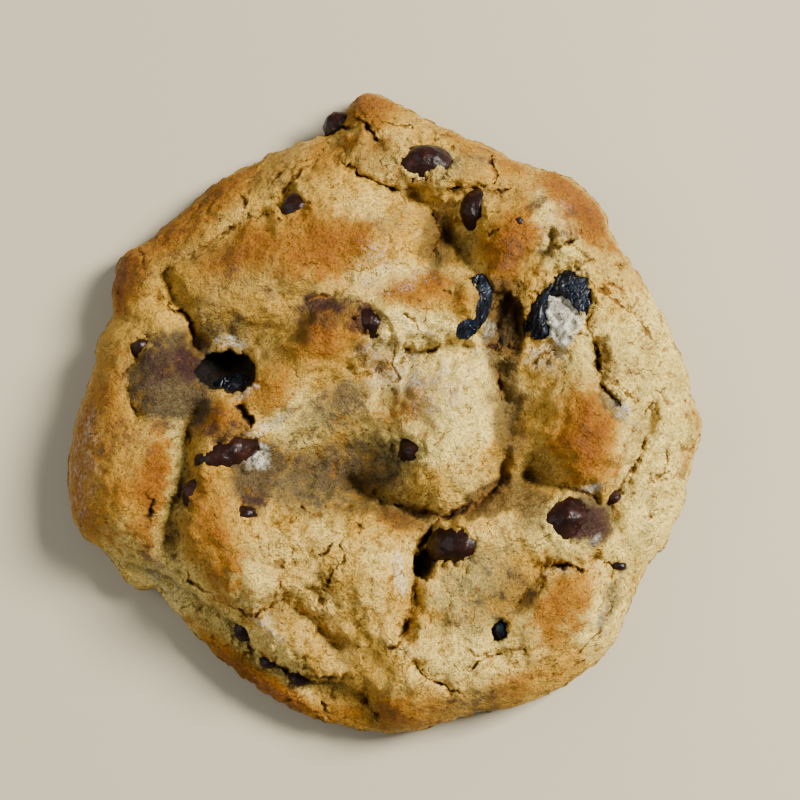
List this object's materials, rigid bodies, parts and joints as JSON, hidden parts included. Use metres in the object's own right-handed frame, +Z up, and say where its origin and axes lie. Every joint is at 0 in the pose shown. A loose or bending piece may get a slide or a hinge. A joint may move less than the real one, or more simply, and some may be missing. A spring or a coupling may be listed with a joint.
{
  "type": "chocolate chip cookie",
  "caption": "Thick round craggy drop cookie of golden brown dough, with chocolate chips and wrinkled dried berries standing out of its uneven top; it rests on its flat underside.",
  "frame": {"origin": "on the surface the cookie rests on, under the middle of its plan", "axes": "+Z up through the top of the cookie; +X to the right and -Y towards the viewer as in the picture"},
  "size_m": [0.1024, 0.1058, 0.0231],
  "materials": {
    "baked_dough": "baked cookie dough, sandy and matte, pale gold with browned high parts and grey chocolate stains",
    "chocolate": "dark chocolate, softly glossy and partly bloomed",
    "berry_skin": "blue-black dried berry skin, glossy and wrinkled"
  },
  "bodies": {
    "root": {"cookie_dough": "baked_dough", "chip_edge": "chocolate", "chip_top": "chocolate", "chip_upper_left": "chocolate", "chip_ridge_side": "chocolate", "chip_ridge_sliver": "chocolate", "chip_mid_ridge": "chocolate", "chip_centre": "chocolate", "chip_broken": "chocolate", "chip_left_edge": "chocolate", "chip_left_small": "chocolate", "chip_cleft": "chocolate", "chip_right": "chocolate", "chip_right_bit": "chocolate", "chip_low_left": "chocolate", "chip_shelf": "chocolate", "chip_shelf_right": "chocolate", "chip_grey_mound": "chocolate", "chip_right_foot": "chocolate", "dried_berry_big": "berry_skin", "dried_berry_tall": "berry_skin", "dried_berry_hole": "berry_skin", "dried_berry_small": "berry_skin"}
  },
  "joints": []
}
